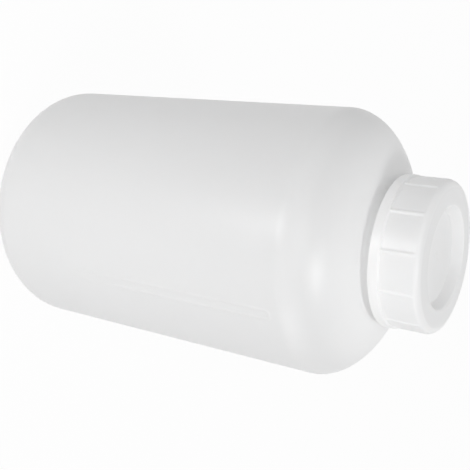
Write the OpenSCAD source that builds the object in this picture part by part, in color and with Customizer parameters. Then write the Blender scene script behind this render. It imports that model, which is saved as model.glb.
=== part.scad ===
// Wide mouth bottle with a ribbed screw cap and a flat ring seal.
// It stands on its base: +Z is up, the origin is the middle of the base's underside.

/* [Body] */
// Outside diameter of the body
body_d = 136; // [120:1:160]
// Height of the straight side, from the base up to the shoulder
side_h = 188.8; // [150:0.2:240]
// Radius of the corner between the base and the side
corner_r = 16; // [8:1:22]
// Height that the shoulder's dome would have if it ran on over the neck to the axis
shoulder_h = 32.8; // [26:0.2:42]
// Fullness of the shoulder's curve: 2 is an ellipse, less is flatter
shoulder_power = 1.98; // [1.7:0.01:2.3]
// Thickness of the blown wall
wall = 1.6; // [1:0.1:2.4]
// Rise of the dome under the base
dome_h = 3.5; // [2:0.5:6]
// Width of the flat ring that the bottle stands on
stand_w = 8; // [4:1:14]

/* [Level lines] */
// Distance between the two raised lines on the side, from middle to middle
line_pitch = 5.1; // [3:0.1:10]
// Width of a line
line_w = 1.8; // [1:0.1:2.6]
// How far the lines stand out of the side
line_t = 0.3; // [0.2:0.1:0.8]
// Height of the lines' lower end
line_low = 62; // [30:1:90]
// Distance from the shoulder down to the lines' upper end
line_top_gap = 1.8; // [0:0.2:20]
// Direction of the lines around the body, from +X
line_angle = -56; // [-180:1:180]

/* [Neck] */
// Outside diameter of the neck, at the foot of its thread
neck_d = 65.2; // [56:0.2:72]
// Wall thickness of the neck
neck_wall = 2.6; // [2:0.1:4]
// Height of the neck, from the shoulder's end up to its lip
neck_h = 24; // [23:0.1:30]
// Width of the hollow between the shoulder and the neck
neck_hollow_w = 3.4; // [2:0.1:4]
// Rounding of the lip's edges
lip_r = 0.6; // [0.3:0.1:0.9]

/* [Thread] */
// Rise of the thread in one turn
pitch = 6; // [5:0.5:8]
// Depth of the thread
thread_depth = 1.7; // [1.2:0.1:2.2]
// Width of a thread ridge at its foot
ridge_foot_w = 2.7; // [2:0.1:3]
// Width of a thread ridge at its crest
ridge_crest_w = 1.1; // [0.6:0.1:1.4]
// Turns of the ridge on the neck, which is also how far the cap screws
neck_turns = 1.5; // [1:0.25:2]
// Turns of the ridge in the cap
cap_turns = 1; // [0.5:0.25:1.25]
// Distance from the lip down to the upper end of the neck's ridge
ridge_below_lip = 3.2; // [2.5:0.1:5]
// Running clearance of the thread, beside its crests and its bearing flanks
thread_gap = 0.3; // [0.2:0.05:0.5]

/* [Cap] */
// Height of the cap
cap_h = 23.9; // [21.8:0.1:27]
// Thickness of the cap's skirt
skirt_t = 2.2; // [1.6:0.1:3]
// Thickness of the cap's top
top_t = 2.5; // [2:0.1:3.5]
// Height of the rounding between the cap's side and top
crown_r = 2.8; // [1.5:0.1:4]
// Width of that rounding, seen from above
crown_w = 4.2; // [1.5:0.1:5]
// Height of the plain band around the cap's foot
band_h = 5.1; // [3:0.1:7]
// Bevel inside the mouth of the cap
mouth_bevel = 0.8; // [0.4:0.1:1.2]

/* [Cap ribs] */
// Number of grip ribs around the cap
rib_count = 12; // [8:1:24]
// How far the ribs and the band stand out of the cap's side
rib_t = 1; // [0.6:0.1:1.5]
// Width of a rib
rib_w = 2; // [1:0.1:3]
// Direction of the first rib, from +X
rib_angle = -88.3; // [-180:0.1:180]

/* [Cap recess] */
// Depth of the round recess in the cap's top
recess_depth = 5.5; // [4:0.1:8]
// How much narrower the recess is at its floor than at its rim, on each side
recess_taper = 2.2; // [0.5:0.1:3]
// Free space between the recess's wall and the mouth of the bottle
plug_gap = 2.7; // [1.5:0.1:4]
// Rounding of the recess's rim
rim_r = 1.4; // [0.5:0.1:3]
// Rounding of the recess's inner corner
floor_r = 1; // [0.5:0.1:1.5]
// Thickness of the recess's floor and wall
dish_t = 2.3; // [1.5:0.1:3]
// Radius of the moulding mark in the middle of the recess
mark_r = 1.1; // [0.5:0.1:2]
// Height of that mark
mark_t = 0.4; // [0.2:0.1:0.6]

/* [Seal] */
// Thickness of the ring seal
seal_t = 1.5; // [1:0.1:2.5]
// Free space between the seal's edges and the cap
seal_gap = 0.3; // [0.2:0.05:0.5]

/* [Hidden] */
$fn = 96;

// How far a ridge, rib or line reaches into the wall that carries it
sink = 0.6;
// How far a rib's face stays below the face of the band
rib_step = 0.4;
// Angle over which a thread ridge rises out of its wall, at each of its ends
ridge_run_in = 30;
// Straight stretches of a thread ridge in one turn
ridge_steps = 36;
// Angle from the shoulder's end to the next point of the neck's hollow
hollow_step = 15;

body_r = body_d / 2;
neck_r = neck_d / 2;
mouth_r = neck_r - neck_wall;
neck_foot_r = neck_r + neck_hollow_w;
neck_foot_t = arc_angle(neck_foot_r, body_r, shoulder_power);
neck_foot_z = side_h + shoulder_h * pow(sin(neck_foot_t), 2 / shoulder_power);
lip_z = neck_foot_z + neck_h;
// Direction that the shoulder's surface faces where the hollow takes over, from level
neck_foot_facing = atan2(
    pow((neck_foot_z - side_h) / shoulder_h, shoulder_power - 1) / shoulder_h,
    pow(neck_foot_r / body_r, shoulder_power - 1) / body_r
);
neck_hollow_r = neck_hollow_w / (1 - cos(neck_foot_facing));
neck_hollow_z = neck_foot_z + neck_hollow_r * sin(neck_foot_facing);

cap_under_z = lip_z + seal_t;
cap_top_z = cap_under_z + top_t;
cap_foot_z = cap_top_z - cap_h;
crown_z = cap_top_z - crown_r;
cap_bore_r = neck_r + thread_depth + thread_gap;
cap_side_r = cap_bore_r + skirt_t;
cap_r = cap_side_r + rib_t;
dish_r = mouth_r - plug_gap;
recess_r = dish_r - dish_t;
recess_z = cap_top_z - recess_depth;
// How far the recess's wall leans out of the upright
recess_lean = atan2(recess_taper, recess_depth);

// How much a thread ridge widens for each millimetre below its crest
flank = (ridge_foot_w - ridge_crest_w) / (2 * thread_depth);
// Width that a ridge on the neck and one in the cap take up side by side
ridges_w = ridge_crest_w + flank * (thread_depth - thread_gap);
ridge_top_z = lip_z - ridge_below_lip;
ridge_base_z = ridge_top_z - neck_turns * pitch;

// Points of a quarter or other stretch of an ellipse: its middle, half axes, angles and power
function arc(c, a, b, from, to, steps, power = 2) = [
    for (i = [0 : steps])
        let (t = from + (to - from) * i / steps, u = cos(t), v = sin(t))
            c + [a * sign(u) * pow(abs(u), 2 / power), b * sign(v) * pow(abs(v), 2 / power)]
];

// Angle at which such an ellipse, drawn from the axis, has the radius r
function arc_angle(r, a, power) = acos(pow(r / a, power / 2));

// Points of the base's dome, from its middle out to the standing ring, lifted by h
function dome(h, r) = [
    for (i = [0 : 5])
        let (x = r * i / 6)
            [x, h + dome_h * (1 - pow(x / r, 2))]
];

// Section of the bottle's wall, up its outside and down its inside
function bottle_section() = let (
    stand_out_r = body_r - corner_r,
    stand_in_r = stand_out_r - stand_w,
    hollow = [neck_r + neck_hollow_r, neck_hollow_z],
    inner_r = hollow[0] - (neck_hollow_r + neck_wall) * cos(neck_foot_facing),
    inner_t = arc_angle(inner_r, body_r - wall, shoulder_power)
) concat(
    dome(0, stand_in_r),
    [[stand_in_r, 0]],
    arc([stand_out_r, corner_r], corner_r, corner_r, -90, 0, 8),
    arc([0, side_h], body_r, shoulder_h, 0, neck_foot_t, 16, shoulder_power),
    arc(hollow, neck_hollow_r, neck_hollow_r, 180 + neck_foot_facing - hollow_step, 180, 5),
    arc([neck_r - lip_r, lip_z - lip_r], lip_r, lip_r, 0, 90, 3),
    arc([mouth_r + lip_r, lip_z - lip_r], lip_r, lip_r, 90, 180, 3),
    arc(hollow, neck_hollow_r + neck_wall, neck_hollow_r + wall, 180,
        180 + neck_foot_facing - hollow_step, 5),
    arc([0, side_h], body_r - wall, shoulder_h - wall, inner_t, 0, 16, shoulder_power),
    arc([stand_out_r, corner_r], corner_r - wall, corner_r - wall, 0, -90, 8),
    [for (i = [5 : -1 : 0]) dome(wall, stand_in_r)[i]]
);

// Thread ridge between a root radius and a crest radius, ending upwards at a height and an angle
module ridge(root_r, crest_r, turns, top_z, top_angle) {
    out = sign(crest_r - root_r);
    steps = ceil(turns * ridge_steps);
    points = [
        for (i = [0 : steps])
            let (
                a = turns * 360 * i / steps,
                rise = min(1, a / ridge_run_in, (turns * 360 - a) / ridge_run_in),
                tip_r = root_r + out * (abs(crest_r - root_r) * rise - sink / 2 * (1 - rise)),
                base_r = root_r - out * sink,
                tip_w = ridge_crest_w / 2,
                base_w = tip_w + flank * abs(crest_r - base_r),
                z = top_z - turns * pitch + pitch * a / 360,
                c = cos(top_angle - turns * 360 + a),
                s = sin(top_angle - turns * 360 + a),
                section = [[base_r, -base_w], [tip_r, -tip_w], [tip_r, tip_w], [base_r, base_w]]
            )
            for (k = [0 : 3])
                let (p = section[out > 0 ? k : 3 - k])
                    [p[0] * c, p[0] * s, z + p[1]]
    ];
    sides = [
        for (i = [0 : steps - 1])
            for (k = [0 : 3])
                let (a = 4 * i + k, b = 4 * i + (k + 1) % 4)
                    each [[a, b + 4, a + 4], [a, b, b + 4]]
    ];
    first = [[0, 2, 1], [0, 3, 2]];
    last = [for (f = first) [for (v = [2 : -1 : 0]) f[v] + 4 * steps]];
    polyhedron(points = points, faces = concat(first, sides, last), convexity = 8);
}

// Upright bar with round ends, seen from the front: its half width and how far it stays inside
module bar(half, inset) {
    high = side_h - line_top_gap - inset - half;
    low = line_low + inset + half;
    polygon(concat(
        arc([0, high], half, half, 0, 180, 10),
        arc([0, low], half, half, 180, 360, 10)
    ));
}

// Two raised lines that mark the level, joined by round ends and bent to the body
module level_lines() {
    outer = (line_pitch + line_w) / 2;
    intersection() {
        difference() {
            cylinder(r = body_r + line_t, h = side_h);
            translate([0, 0, -1])
                cylinder(r = body_r - sink, h = side_h + 2);
        }
        rotate([0, 0, line_angle])
            rotate([90, 0, 90])
                linear_extrude(height = body_d)
                    difference() {
                        bar(outer, 0);
                        bar(outer - line_w, line_w);
                    }
    }
}

// Blown bottle: one wall from the base's dome to the lip, with the neck's thread ridge
module bottle() {
    color([0.93, 0.93, 0.925]) {
        rotate_extrude()
            polygon(bottle_section());
        level_lines();
        ridge(neck_r, neck_r + thread_depth, neck_turns, ridge_top_z, 0);
    }
}

// Flat ring between the lip and the underside of the cap
module seal_ring() {
    color([0.86, 0.87, 0.87])
        translate([0, 0, lip_z])
            difference() {
                cylinder(r = cap_bore_r - seal_gap, h = seal_t);
                translate([0, 0, -1])
                    cylinder(r = dish_r + seal_gap, h = seal_t + 2);
            }
}

// Width, along the flat face, of a rounding between the recess's wall and a flat face
function lean_w(r) = r / tan(45 + recess_lean / 2);

// Section of the cap's shell: outside from its foot to the recess, then its inside
function cap_section() = let (
    under_z = recess_z - dish_t,
    under_r = dish_r - recess_taper,
    rim = [recess_r + lean_w(rim_r), cap_top_z - rim_r],
    corner = [recess_r - recess_taper - lean_w(floor_r), recess_z + floor_r]
) concat(
    [[cap_bore_r + mouth_bevel, cap_foot_z], [cap_r - rib_t / 2, cap_foot_z]],
    [[cap_r, cap_foot_z + rib_t / 2]],
    arc([cap_side_r, cap_foot_z + band_h - rib_t], rib_t, rib_t, 0, 90, 4),
    arc([cap_side_r - crown_w, crown_z], crown_w, crown_r, 0, 90, 8),
    arc(rim, rim_r, rim_r, 90, 180 - recess_lean, 5),
    arc(corner, floor_r, floor_r, -recess_lean, -90, 4),
    [[0, recess_z], [0, under_z], [under_r - floor_r, under_z], [under_r, under_z + floor_r]],
    [[dish_r, cap_under_z], [cap_bore_r, cap_under_z], [cap_bore_r, cap_foot_z + mouth_bevel]]
);

// Grip rib on the cap's side, with a sloping upper end
module rib() {
    rotate([90, 0, 0])
        linear_extrude(height = rib_w, center = true)
            polygon([
                [cap_side_r - sink, cap_foot_z + band_h / 2],
                [cap_r - rib_step, cap_foot_z + band_h / 2],
                [cap_r - rib_step, crown_z - rib_t],
                [cap_side_r - sink, crown_z + sink]
            ]);
}

// Moulded screw cap: skirt with ribs, top with a round recess, thread ridge inside
module cap() {
    color([0.97, 0.97, 0.97]) {
        rotate_extrude()
            polygon(cap_section());
        for (i = [0 : rib_count - 1])
            rotate([0, 0, rib_angle + i * 360 / rib_count])
                rib();
        translate([0, 0, recess_z - sink])
            cylinder(r = mark_r, h = sink + mark_t);
        ridge(cap_bore_r, cap_bore_r - thread_depth, cap_turns,
              ridge_base_z + cap_turns * pitch - ridges_w - thread_gap,
              (cap_turns - neck_turns) * 360);
    }
}

bottle();
seal_ring();
cap();
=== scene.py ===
"""Wide mouth bottle with a ribbed screw cap: looks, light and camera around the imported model."""

import math

import bpy
import numpy as np
from mathutils import Matrix, Vector


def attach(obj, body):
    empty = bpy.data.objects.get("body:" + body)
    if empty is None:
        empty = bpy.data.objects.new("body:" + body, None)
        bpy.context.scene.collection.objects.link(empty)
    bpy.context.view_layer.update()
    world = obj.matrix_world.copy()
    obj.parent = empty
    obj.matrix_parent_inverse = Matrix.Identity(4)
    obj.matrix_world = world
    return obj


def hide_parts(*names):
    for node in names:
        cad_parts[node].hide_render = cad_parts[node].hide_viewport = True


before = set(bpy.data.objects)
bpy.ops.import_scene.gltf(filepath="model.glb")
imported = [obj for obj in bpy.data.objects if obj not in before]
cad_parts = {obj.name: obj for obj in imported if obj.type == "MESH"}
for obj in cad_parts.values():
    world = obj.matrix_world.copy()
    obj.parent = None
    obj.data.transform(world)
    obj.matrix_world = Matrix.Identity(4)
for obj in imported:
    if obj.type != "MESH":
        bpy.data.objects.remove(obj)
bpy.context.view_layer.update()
MM = 0.001


# Camera
# The photograph looks down at the standing bottle from about 34 degrees, from a short way off,
# and the camera is turned on its side, so that the cap points to the right of the picture.

view_aim = Vector((0, 0, 108.8)) * MM
view_distance = 447.3 * MM
view_elevation = math.radians(34.17)
view_roll = math.radians(98.74)
view_pan = math.radians(1.641)
view_tilt = math.radians(-0.937)
sensor_width = 36
focal_length = 60.62

camera_data = bpy.data.cameras.new("camera")
camera_data.sensor_width = sensor_width
camera_data.lens = focal_length
camera_data.clip_start = 10 * MM
camera = bpy.data.objects.new("camera", camera_data)
bpy.context.scene.collection.objects.link(camera)
back = Vector((0, -math.cos(view_elevation), math.sin(view_elevation)))
camera.matrix_world = (
    Matrix.Translation(view_aim + back * view_distance)
    @ Matrix.Rotation(math.pi / 2 - view_elevation, 4, "X")
    @ Matrix.Rotation(view_roll, 4, "Z")
    @ Matrix.Rotation(-view_pan, 4, "Y")
    @ Matrix.Rotation(view_tilt, 4, "X")
)
bpy.context.scene.camera = camera


# Bottle
# One blown piece of natural polyethylene, milky and a little translucent, with a satin skin.
# A hot tube was blown out against a cold mould, so its wall is thin and even in the body, and
# thick in the neck, where the thread was pressed.

body_r = 68 * MM
side_h = 188.8 * MM
corner_r = 16 * MM
shoulder_h = 32.8 * MM
shoulder_power = 1.98
wall = 1.6 * MM
dome_h = 3.5 * MM
stand_w = 8 * MM
neck_r = 32.6 * MM
neck_wall = 2.6 * MM
neck_h = 24 * MM
neck_hollow_w = 3.4 * MM
lip_r = 0.6 * MM
pitch = 6 * MM
thread_depth = 1.7 * MM
ridge_foot_w = 2.7 * MM
ridge_crest_w = 1.1 * MM
ridge_run_in = math.radians(30)
neck_turns = 1.5
ridge_below_lip = 3.2 * MM
line_pitch = 5.1 * MM
line_w = 2.8 * MM
line_t = 0.25 * MM
line_low = 62 * MM
line_top_gap = 1.8 * MM
line_high = side_h - line_top_gap
line_fade = 50 * MM
line_faint = 0.25
line_angle = math.radians(-56)

mouth_r = neck_r - neck_wall
# The shoulder is a part of a dome over the axis, and ends where the neck's hollow takes over
neck_foot_r = neck_r + neck_hollow_w
neck_foot_t = math.acos((neck_foot_r / body_r) ** (shoulder_power / 2))
neck_foot_z = side_h + shoulder_h * math.sin(neck_foot_t) ** (2 / shoulder_power)
neck_foot_facing = math.atan2(
    ((neck_foot_z - side_h) / shoulder_h) ** (shoulder_power - 1) / shoulder_h,
    (neck_foot_r / body_r) ** (shoulder_power - 1) / body_r,
)
neck_hollow_r = neck_hollow_w / (1 - math.cos(neck_foot_facing))
neck_hollow_z = neck_foot_z + neck_hollow_r * math.sin(neck_foot_facing)
lip_z = neck_foot_z + neck_h


def arc(centre, a, b, start, end, count, power=2):
    """Points of a stretch of an ellipse, centre + (a cos t, b sin t), with t from start to end in
    degrees. Another power than 2 makes the ellipse fuller or flatter."""
    t = np.radians(np.linspace(start, end, count))
    u, v = np.cos(t), np.sin(t)
    x = a * np.sign(u) * np.abs(u) ** (2 / power)
    z = b * np.sign(v) * np.abs(v) ** (2 / power)
    return np.stack([centre[0] + x, centre[1] + z], 1)


def run(start, end, count):
    """Points of a straight stretch from start to end, without its two ends."""
    t = np.linspace(0, 1, count + 2)[1:-1, None]
    return np.array(start) * (1 - t) + np.array(end) * t


def turned(name, profile, angles, lift=None):
    """Mesh of a turned piece: each profile point (r, z) becomes the ring (r cos a, r sin a, z) over
    the angles a, and lift(r, z, a) is added to r. The first and last points, where r is 0, become
    single points, so the shell is closed. A profile that runs up its outside faces outwards."""
    r, a = np.meshgrid(profile[:, 0], angles, indexing="ij")
    z = np.meshgrid(profile[:, 1], angles, indexing="ij")[0]
    if lift is not None:
        r = r + lift(r, z, a)
    rings = np.stack([r * np.cos(a), r * np.sin(a), z], -1)[1:-1]
    rows, columns = rings.shape[:2]
    ends = np.array([[0, 0, profile[0, 1]], [0, 0, profile[-1, 1]]])
    i, j = np.meshgrid(np.arange(rows - 1), np.arange(columns), indexing="ij")
    k = (j + 1) % columns
    quads = np.stack(
        [i * columns + j, i * columns + k, (i + 1) * columns + k, (i + 1) * columns + j], -1
    ).reshape(-1, 4)
    around = np.arange(columns)
    after = (around + 1) % columns
    first, last = rows * columns, rows * columns + 1
    top = (rows - 1) * columns
    fans = np.concatenate([
        np.stack([np.full(columns, first), after, around], 1),
        np.stack([np.full(columns, last), top + around, top + after], 1),
    ])
    mesh = bpy.data.meshes.new(name)
    mesh.from_pydata(
        np.concatenate([rings.reshape(-1, 3), ends]).tolist(), [], quads.tolist() + fans.tolist()
    )
    mesh.shade_smooth()
    piece = bpy.data.objects.new(name, mesh)
    bpy.context.scene.collection.objects.link(piece)
    return piece


def ease(x, low, high):
    """0 below low, 1 above high, and a smooth step between."""
    t = np.clip((x - low) / (high - low), 0, 1)
    return t * t * (3 - 2 * t)


def ridge(z, a, top_z, top_angle, turns):
    """Height, from 0 to 1, of a helical thread ridge. Its middle climbs by one pitch a turn up to
    top_z at top_angle, it is flat on its crest and slopes on both sides, and it runs out in a
    twelfth of a turn at each end."""
    height = np.zeros_like(z)
    length = 2 * np.pi * turns
    for lap in range(math.ceil(turns) + 1):
        below = (top_angle - a) % (2 * np.pi) + 2 * np.pi * lap
        middle = top_z - pitch * below / (2 * np.pi)
        off = np.abs(z - middle)
        slope = 1 - ease(off, ridge_crest_w / 2, ridge_foot_w / 2)
        ends = ease(below, 0, ridge_run_in) * (1 - ease(below, length - ridge_run_in, length))
        height = np.maximum(height, slope * ends)
    return height


def level_lines(z, a):
    """Height, from 0 to 1, of the two raised lines on the side: a bead along the middle of a long
    bar's outline with round ends, which gets fainter downwards."""
    half = line_pitch / 2
    across = ((a - line_angle + np.pi) % (2 * np.pi) - np.pi) * body_r
    along = z - np.clip(z, line_low + half, line_high - line_w / 2 - half)
    off = np.abs(np.hypot(across, along) - half)
    bead = 0.5 + 0.5 * np.cos(np.pi * np.clip(off / (line_w / 2), 0, 1))
    return bead * (line_faint + (1 - line_faint) * ease(z, line_low, line_low + line_fade))


def bottle_lift(r, z, a):
    """Raises the level lines on the body's outside and the thread ridge on the neck's outside."""
    side = (r > body_r - wall / 2) & (z < side_h)
    neck = (r > neck_r - lip_r / 2) & (r < neck_r + thread_depth) & (z > neck_foot_z)
    thread = ridge(z, a, lip_z - ridge_below_lip, 0, neck_turns)
    return np.where(side, level_lines(z, a) * line_t, 0) + np.where(neck, thread * thread_depth, 0)


stand_out_r = body_r - corner_r
stand_in_r = stand_out_r - stand_w
dome_x = np.linspace(0, stand_in_r, 14)
dome_z = dome_h * (1 - (dome_x / stand_in_r) ** 2)
dome = np.stack([dome_x, dome_z], 1)
hollow = (neck_r + neck_hollow_r, neck_hollow_z)
# The next point after the end of a curve lies this many degrees on, so that no point is doubled
next_step = 5
hollow_from = 180 + math.degrees(neck_foot_facing) - next_step
shoulder_to = math.degrees(neck_foot_t)
inner_r = hollow[0] - (neck_hollow_r + neck_wall) * math.cos(neck_foot_facing)
inner_to = math.degrees(math.acos((inner_r / (body_r - wall)) ** (shoulder_power / 2)))
line_end = line_pitch + line_w
bottle_profile = np.concatenate([
    dome,
    run((stand_in_r, 0), (stand_out_r, 0), 3),
    arc((stand_out_r, corner_r), corner_r, corner_r, -90, 0, 20),
    run((body_r, corner_r), (body_r, line_low), 6),
    run((body_r, line_low), (body_r, line_low + line_end), 14),
    run((body_r, line_low + line_end), (body_r, line_high - line_end), 22),
    run((body_r, line_high - line_end), (body_r, side_h), 22),
    arc((0, side_h), body_r, shoulder_h, 0, shoulder_to, 40, shoulder_power),
    arc(hollow, neck_hollow_r, neck_hollow_r, hollow_from, 180, 10),
    run((neck_r, neck_hollow_z), (neck_r, lip_z - lip_r), 64),
    arc((neck_r - lip_r, lip_z - lip_r), lip_r, lip_r, 0, 90, 5),
    arc((mouth_r + lip_r, lip_z - lip_r), lip_r, lip_r, 90, 180, 5),
    run((mouth_r, lip_z - lip_r), (mouth_r, neck_hollow_z), 4),
    arc(hollow, neck_hollow_r + neck_wall, neck_hollow_r + wall, 180, hollow_from, 8),
    arc((0, side_h), body_r - wall, shoulder_h - wall, inner_to, 0, 20, shoulder_power),
    run((body_r - wall, side_h), (body_r - wall, corner_r), 8),
    arc((stand_out_r, corner_r), corner_r - wall, corner_r - wall, 0, -90, 12),
    (dome + [0, wall])[-2::-1],
])
# Close steps beside the level lines, and wide ones around the rest
line_span = np.radians(5)
bottle_angles = np.sort(np.concatenate([
    np.linspace(line_angle + line_span, line_angle + 2 * np.pi - line_span, 248),
    np.linspace(line_angle - line_span, line_angle + line_span, 66)[1:-1],
]))
bottle = turned("bottle_shell", bottle_profile, bottle_angles, bottle_lift)


def add(tree, kind, **inputs):
    """Adds a shader node and sets or links its inputs, by name with underscores for spaces, or by
    number, as i0."""
    node = tree.nodes.new(kind)
    for name, value in inputs.items():
        numbered = name[0] == "i" and name[1:].isdigit()
        socket = node.inputs[int(name[1:]) if numbered else name.replace("_", " ")]
        if isinstance(value, bpy.types.NodeSocket):
            tree.links.new(value, socket)
        else:
            socket.default_value = value
    return node


def plastic(name, tint, dull, rough, rough_spread, milk, skin_size, skin_depth):
    """Satin moulded plastic: tint is its colour and dull the slightly darker one that drifts
    through it in slow clouds; roughness varies by rough_spread around rough; milk is how much
    light spreads inside it, and the skin is a fine uneven relief of a size and a depth."""
    material = bpy.data.materials.new(name)
    material.use_nodes = True
    tree = material.node_tree
    shader = tree.nodes["Principled BSDF"]
    place = tree.nodes.new("ShaderNodeTexCoord").outputs["Object"]
    clouds = add(tree, "ShaderNodeTexNoise", Vector=place, Scale=14.0, Detail=2.0)
    colour = tree.nodes.new("ShaderNodeMix")
    colour.data_type = "RGBA"
    tree.links.new(clouds.outputs["Fac"], colour.inputs["Factor"])
    colour.inputs["A"].default_value = tint
    colour.inputs["B"].default_value = dull
    tree.links.new(colour.outputs["Result"], shader.inputs["Base Color"])
    grain = add(tree, "ShaderNodeTexNoise", Vector=place, Scale=90.0, Detail=3.0)
    spread = add(tree, "ShaderNodeMapRange", Value=grain.outputs["Fac"],
                 To_Min=rough - rough_spread, To_Max=rough + rough_spread)
    tree.links.new(spread.outputs["Result"], shader.inputs["Roughness"])
    skin = add(tree, "ShaderNodeTexNoise", Vector=place, Scale=1 / skin_size, Detail=2.0)
    bump = add(tree, "ShaderNodeBump", Height=skin.outputs["Fac"], Strength=1.0,
               Distance=skin_depth)
    tree.links.new(bump.outputs["Normal"], shader.inputs["Normal"])
    shader.inputs["IOR"].default_value = 1.5
    shader.inputs["Subsurface Weight"].default_value = milk
    shader.inputs["Subsurface Radius"].default_value = (1.0, 0.97, 0.94)
    shader.inputs["Subsurface Scale"].default_value = 3 * MM
    return material


def paint_light_by_height(material, tint, low, high):
    """Paints light and shade by height: the colour goes over smoothly to tint, from low to high."""
    tree = material.node_tree
    shader = tree.nodes["Principled BSDF"]
    place = tree.nodes["Texture Coordinate"].outputs["Object"]
    height = add(tree, "ShaderNodeSeparateXYZ", Vector=place)
    share = add(tree, "ShaderNodeMapRange", Value=height.outputs["Z"], From_Min=low, From_Max=high)
    share.interpolation_type = "SMOOTHSTEP"
    colour = tree.nodes.new("ShaderNodeMix")
    colour.data_type = "RGBA"
    tree.links.new(share.outputs["Result"], colour.inputs["Factor"])
    tree.links.new(shader.inputs["Base Color"].links[0].from_socket, colour.inputs["A"])
    colour.inputs["B"].default_value = tint
    tree.links.new(colour.outputs["Result"], shader.inputs["Base Color"])


bottle_plastic = plastic(
    "bottle_plastic", tint=(0.86, 0.86, 0.86, 1), dull=(0.84, 0.84, 0.84, 1), rough=0.36,
    rough_spread=0.03, milk=0.3, skin_size=1.1 * MM, skin_depth=0.006 * MM,
)
# Painted light: the neck and the shoulder next to it are painted whiter, which lightens the shaded
# groove under the cap's foot
groove_painted_light_tint = (0.985, 0.985, 0.985, 1)
groove_painted_light_from = neck_foot_z - 16 * MM
groove_painted_light_to = neck_foot_z - 1 * MM
paint_light_by_height(bottle_plastic, groove_painted_light_tint, groove_painted_light_from, groove_painted_light_to)
bottle.data.materials.append(bottle_plastic)
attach(bottle, "bottle")
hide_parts("bottle")


# Seal ring
# A flat ring of soft white foamed plastic, punched from sheet. It lies in the cap's top and the
# bottle's lip presses into it, so its faces are smooth and its cut edges are slightly rounded.

seal_t = 1.5 * MM
seal_gap = 0.3 * MM
seal_edge = 0.25 * MM
thread_gap = 0.3 * MM
plug_gap = 2.7 * MM
cap_bore_r = neck_r + thread_depth + thread_gap
dish_r = mouth_r - plug_gap
seal_out_r = cap_bore_r - seal_gap
seal_in_r = dish_r + seal_gap


def loop(name, profile, angles):
    """Mesh of a turned ring: like a turned piece, but the profile closes on itself."""
    columns, rows = len(angles), len(profile)
    r, a = np.meshgrid(profile[:, 0], angles, indexing="ij")
    z = np.meshgrid(profile[:, 1], angles, indexing="ij")[0]
    points = np.stack([r * np.cos(a), r * np.sin(a), z], -1).reshape(-1, 3)
    i, j = np.meshgrid(np.arange(rows), np.arange(columns), indexing="ij")
    n, k = (i + 1) % rows, (j + 1) % columns
    quads = np.stack(
        [i * columns + j, i * columns + k, n * columns + k, n * columns + j], -1
    ).reshape(-1, 4)
    mesh = bpy.data.meshes.new(name)
    mesh.from_pydata(points.tolist(), [], quads.tolist())
    mesh.shade_smooth()
    piece = bpy.data.objects.new(name, mesh)
    bpy.context.scene.collection.objects.link(piece)
    return piece


seal_low, seal_high = lip_z + seal_edge, lip_z + seal_t - seal_edge
seal_profile = np.concatenate([
    arc((seal_in_r + seal_edge, seal_low), seal_edge, seal_edge, 180, 270, 5),
    run((seal_in_r + seal_edge, lip_z), (seal_out_r - seal_edge, lip_z), 6),
    arc((seal_out_r - seal_edge, seal_low), seal_edge, seal_edge, -90, 0, 5),
    arc((seal_out_r - seal_edge, seal_high), seal_edge, seal_edge, 0, 90, 5),
    run((seal_out_r - seal_edge, lip_z + seal_t), (seal_in_r + seal_edge, lip_z + seal_t), 6),
    arc((seal_in_r + seal_edge, seal_high), seal_edge, seal_edge, 90, 180, 5),
])
seal = loop("seal_disc", seal_profile, np.linspace(0, 2 * np.pi, 192, endpoint=False))
seal_foam = plastic(
    "seal_foam", tint=(0.8, 0.81, 0.81, 1), dull=(0.76, 0.77, 0.77, 1), rough=0.7,
    rough_spread=0.05, milk=0.1, skin_size=0.35 * MM, skin_depth=0.03 * MM,
)
seal.data.materials.append(seal_foam)
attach(seal, "seal")
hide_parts("seal_ring")


# Cap
# One injection moulded piece of whiter, glossier plastic: a skirt with twelve grip ribs over a
# plain foot band, a rounded crown and a dished top with the gate's mark in its middle. Its
# thread ridge screws on the neck's.

cap_h = 23.9 * MM
skirt_t = 2.2 * MM
top_t = 2.5 * MM
crown_r = 2.8 * MM
crown_w = 4.2 * MM
band_h = 5.1 * MM
mouth_bevel = 0.8 * MM
rib_count = 12
rib_t = 1.0 * MM
rib_rise = 0.6 * MM
rib_w = 2.6 * MM
rib_crest_w = 0.416 * MM
rib_angle = math.radians(-88.3)
rib_end = 1.6 * MM
recess_depth = 5.5 * MM
recess_taper = 2.2 * MM
rim_r = 1.4 * MM
floor_r = 1.0 * MM
dish_t = 2.3 * MM
mark_r = 1.1 * MM
mark_t = 0.4 * MM
cap_turns = 1
edge_r = 0.35 * MM
crease_r = 0.7 * MM

cap_under_z = lip_z + seal_t
cap_top_z = cap_under_z + top_t
cap_foot_z = cap_top_z - cap_h
crown_z = cap_top_z - crown_r
cap_side_r = cap_bore_r + skirt_t
cap_r = cap_side_r + rib_t
recess_r = dish_r - dish_t
recess_z = cap_top_z - recess_depth
floor_out_r = recess_r - recess_taper
recess_lean = math.atan2(recess_taper, recess_depth)
lean_share = 1 / math.tan(math.pi / 4 + recess_lean / 2)
ridges_w = ridge_crest_w + (ridge_foot_w - ridge_crest_w) / 2 * (1 - thread_gap / thread_depth)
cap_ridge_top = lip_z - ridge_below_lip - (neck_turns - cap_turns) * pitch - ridges_w - thread_gap
cap_ridge_angle = (cap_turns - neck_turns) * 2 * np.pi


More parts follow.
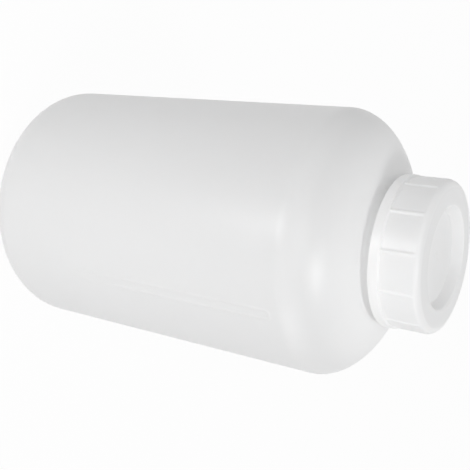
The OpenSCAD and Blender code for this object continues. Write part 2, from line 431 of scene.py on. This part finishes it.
def cap_lift(r, z, a):
    """Raises the grip ribs on the side, each a smooth bead across with a sloping upper end, and
    the thread ridge, inwards, in the bore."""
    step = 2 * np.pi / rib_count
    across = ((a - rib_angle + step / 2) % step - step / 2) * cap_side_r
    bead = 1 - ease(np.abs(across), rib_crest_w / 2, rib_w / 2)
    upright = 1 - ease(z, crown_z - rib_end, crown_z + rib_end / 2)
    side = (r > cap_side_r - crown_r / 2) & (r < cap_r) & (z > cap_foot_z + band_h - rib_t)
    rise = rib_rise * bead * upright
    ribs = np.where(side, np.maximum(rise - np.maximum(r - cap_side_r, 0), 0), 0)
    bore = (np.abs(r - cap_bore_r) < edge_r) & (z < cap_under_z - edge_r)
    thread = ridge(z, a, cap_ridge_top, cap_ridge_angle, cap_turns)
    return ribs - np.where(bore, thread * thread_depth, 0)


band_z = cap_foot_z + band_h
# The hollow that leads from the side into the band's round edge touches both
crease_up = math.sqrt(rib_t ** 2 + 2 * rib_t * crease_r)
crease_z = band_z - rib_t + crease_up
crease_to = math.degrees(math.atan2(crease_up, crease_r))
under_z = recess_z - dish_t
under_r = dish_r - recess_taper
lean = math.degrees(recess_lean)
corner_in_r = floor_out_r - floor_r * lean_share
rim_out_r = recess_r + rim_r * lean_share
wall_low = (corner_in_r + floor_r * math.cos(recess_lean),
            recess_z + floor_r * (1 - math.sin(recess_lean)))
wall_high = (rim_out_r - rim_r * math.cos(recess_lean),
             cap_top_z - rim_r * (1 - math.sin(recess_lean)))
# From the mark in the recess, over its rim and the crown, down the side, and back inside
cap_profile = np.concatenate([
    [[0, recess_z + mark_t]],
    arc((0, recess_z), mark_r, mark_t, 80, 10, 6),
    run((mark_r, recess_z), (corner_in_r, recess_z), 14),
    arc((corner_in_r, recess_z + floor_r), floor_r, floor_r, -90, -lean, 8),
    run(wall_low, wall_high, 8),
    arc((rim_out_r, cap_top_z - rim_r), rim_r, rim_r, 180 - lean, 90, 12),
    run((rim_out_r, cap_top_z), (cap_side_r - crown_w, cap_top_z), 5),
    arc((cap_side_r - crown_w, crown_z), crown_w, crown_r, 90, 0, 28),
    run((cap_side_r, crown_z), (cap_side_r, crown_z - rib_end), 10),
    run((cap_side_r, crown_z - rib_end), (cap_side_r, crease_z), 20),
    arc((cap_side_r + crease_r, crease_z), crease_r, crease_r, 180, 180 + crease_to, 8),
    arc((cap_side_r, band_z - rib_t), rib_t, rib_t, crease_to - next_step, 0, 10),
    run((cap_r, band_z - rib_t), (cap_r, cap_foot_z + edge_r), 4),
    arc((cap_r - edge_r, cap_foot_z + edge_r), edge_r, edge_r, 0, -90, 6),
    [[cap_bore_r + mouth_bevel, cap_foot_z], [cap_bore_r, cap_foot_z + mouth_bevel]],
    run((cap_bore_r, cap_foot_z + mouth_bevel), (cap_bore_r, cap_under_z), 80),
    [[cap_bore_r, cap_under_z], [dish_r, cap_under_z]],
    run((dish_r, cap_under_z), (under_r, under_z + floor_r), 5),
    arc((under_r - floor_r, under_z + floor_r), floor_r, floor_r, -20, -90, 5),
    run((under_r - floor_r, under_z), (0, under_z), 12),
    [[0, under_z]],
])[::-1]
step = 2 * np.pi / rib_count
# Close steps over a little more than a rib's width, and wide ones between the ribs
rib_span = rib_w * 0.6 / cap_side_r
within = np.concatenate([
    np.linspace(-rib_span, rib_span, 17),
    np.linspace(rib_span, step - rib_span, 9)[1:-1],
])
cap_angles = (rib_angle + step * np.arange(rib_count)[:, None] + within[None]).ravel()
cap = turned("cap_shell", cap_profile, cap_angles, cap_lift)
cap_plastic = plastic(
    "cap_plastic", tint=(0.97, 0.97, 0.97, 1), dull=(0.95, 0.95, 0.95, 1), rough=0.36,
    rough_spread=0.03, milk=0.5, skin_size=0.9 * MM, skin_depth=0.004 * MM,
)
# Painted shade: the cap's flat top ring, between the crown and the recess, is painted darker than
# the rest of the cap
rim_painted_shade_tint = (0.90, 0.90, 0.90, 1)
rim_painted_shade_from = cap_top_z - 0.2 * MM
rim_painted_shade_to = cap_top_z - 0.02 * MM
paint_light_by_height(cap_plastic, rim_painted_shade_tint, rim_painted_shade_from, rim_painted_shade_to)
cap.data.materials.append(cap_plastic)
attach(cap, "cap")
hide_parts("cap")


# Floor and light
# A wide pale floor, white to the camera but for the bottle's soft shadow, under small and large
# soft lamps. It lies a hair below the ring that the bottle stands on, so that their faces don't
# fall together.

floor_half = 6.0
floor_z = -0.05 * MM
floor_white = 0.96
ambient = 0.49


def shown(tree, hidden, seen):
    """A number that is seen for rays that come from the camera, also by way of a gloss or through
    glass, and hidden for the light that the object receives."""
    rays = tree.nodes.new("ShaderNodeLightPath").outputs
    direct = add(tree, "ShaderNodeMath", i0=rays["Is Camera Ray"], i1=rays["Is Glossy Ray"])
    direct.operation = "MAXIMUM"
    any_ray = add(tree, "ShaderNodeMath", i0=direct.outputs["Value"],
                  i1=rays["Is Transmission Ray"])
    any_ray.operation = "MAXIMUM"
    picked = add(tree, "ShaderNodeMapRange", Value=any_ray.outputs["Value"], To_Min=hidden,
                 To_Max=seen)
    return picked.outputs["Result"]


floor_mesh = bpy.data.meshes.new("floor")
floor_mesh.from_pydata(
    [(-floor_half, -floor_half, floor_z), (floor_half, -floor_half, floor_z),
     (floor_half, floor_half, floor_z), (-floor_half, floor_half, floor_z)], [], [(0, 1, 2, 3)],
)
floor = bpy.data.objects.new("floor", floor_mesh)
bpy.context.scene.collection.objects.link(floor)
floor_paint = bpy.data.materials.new("floor_paint")
floor_paint.use_nodes = True
tree = floor_paint.node_tree
tree.nodes.clear()
matt = add(tree, "ShaderNodeBsdfDiffuse", Color=(0.82, 0.82, 0.82, 1))
white = add(tree, "ShaderNodeEmission", Color=(1, 1, 1, 1), Strength=1.0)
both = add(tree, "ShaderNodeMixShader", i0=shown(tree, 0.0, floor_white),
           i1=matt.outputs["BSDF"], i2=white.outputs["Emission"])
tree.links.new(both.outputs["Shader"],
               tree.nodes.new("ShaderNodeOutputMaterial").inputs["Surface"])
floor_mesh.materials.append(floor_paint)

world = bpy.data.worlds.new("world")
bpy.context.scene.world = world
world.use_nodes = True
tree = world.node_tree
tree.links.new(shown(tree, ambient, 1.0), tree.nodes["Background"].inputs["Strength"])
tree.nodes["Background"].inputs["Color"].default_value = (1, 1, 1, 1)
# Light goes to and fro many times in the white groove under the cap
bpy.context.scene.cycles.max_bounces = 32
bpy.context.scene.cycles.diffuse_bounces = 32


def lamp(name, place, size, power):
    """A square soft lamp at a place in metres, turned to the bottle's middle."""
    data = bpy.data.lights.new(name, "AREA")
    data.shape = "SQUARE"
    data.size = size
    data.energy = power
    light = bpy.data.objects.new(name, data)
    light.visible_camera = False
    light.location = place
    light.rotation_euler = (Vector(place) - view_aim).to_track_quat("Z", "Y").to_euler()
    bpy.context.scene.collection.objects.link(light)


lamp("low_lamp", (-0.06, -0.62, 0.045), 0.08, 0.50)
lamp("near_lamp", (-0.035, -0.38, 0.03), 0.06, 0.09)
lamp("high_lamp", (0.53, -0.33, 1.59), 0.25, 4.6)
lamp("right_lamp", (1.5, -0.4, 0.35), 0.8, 3.3)
lamp("front_lamp", (0, -1.1, 1.2), 0.8, 2.9)

bpy.context.scene.view_settings.view_transform = "Standard"
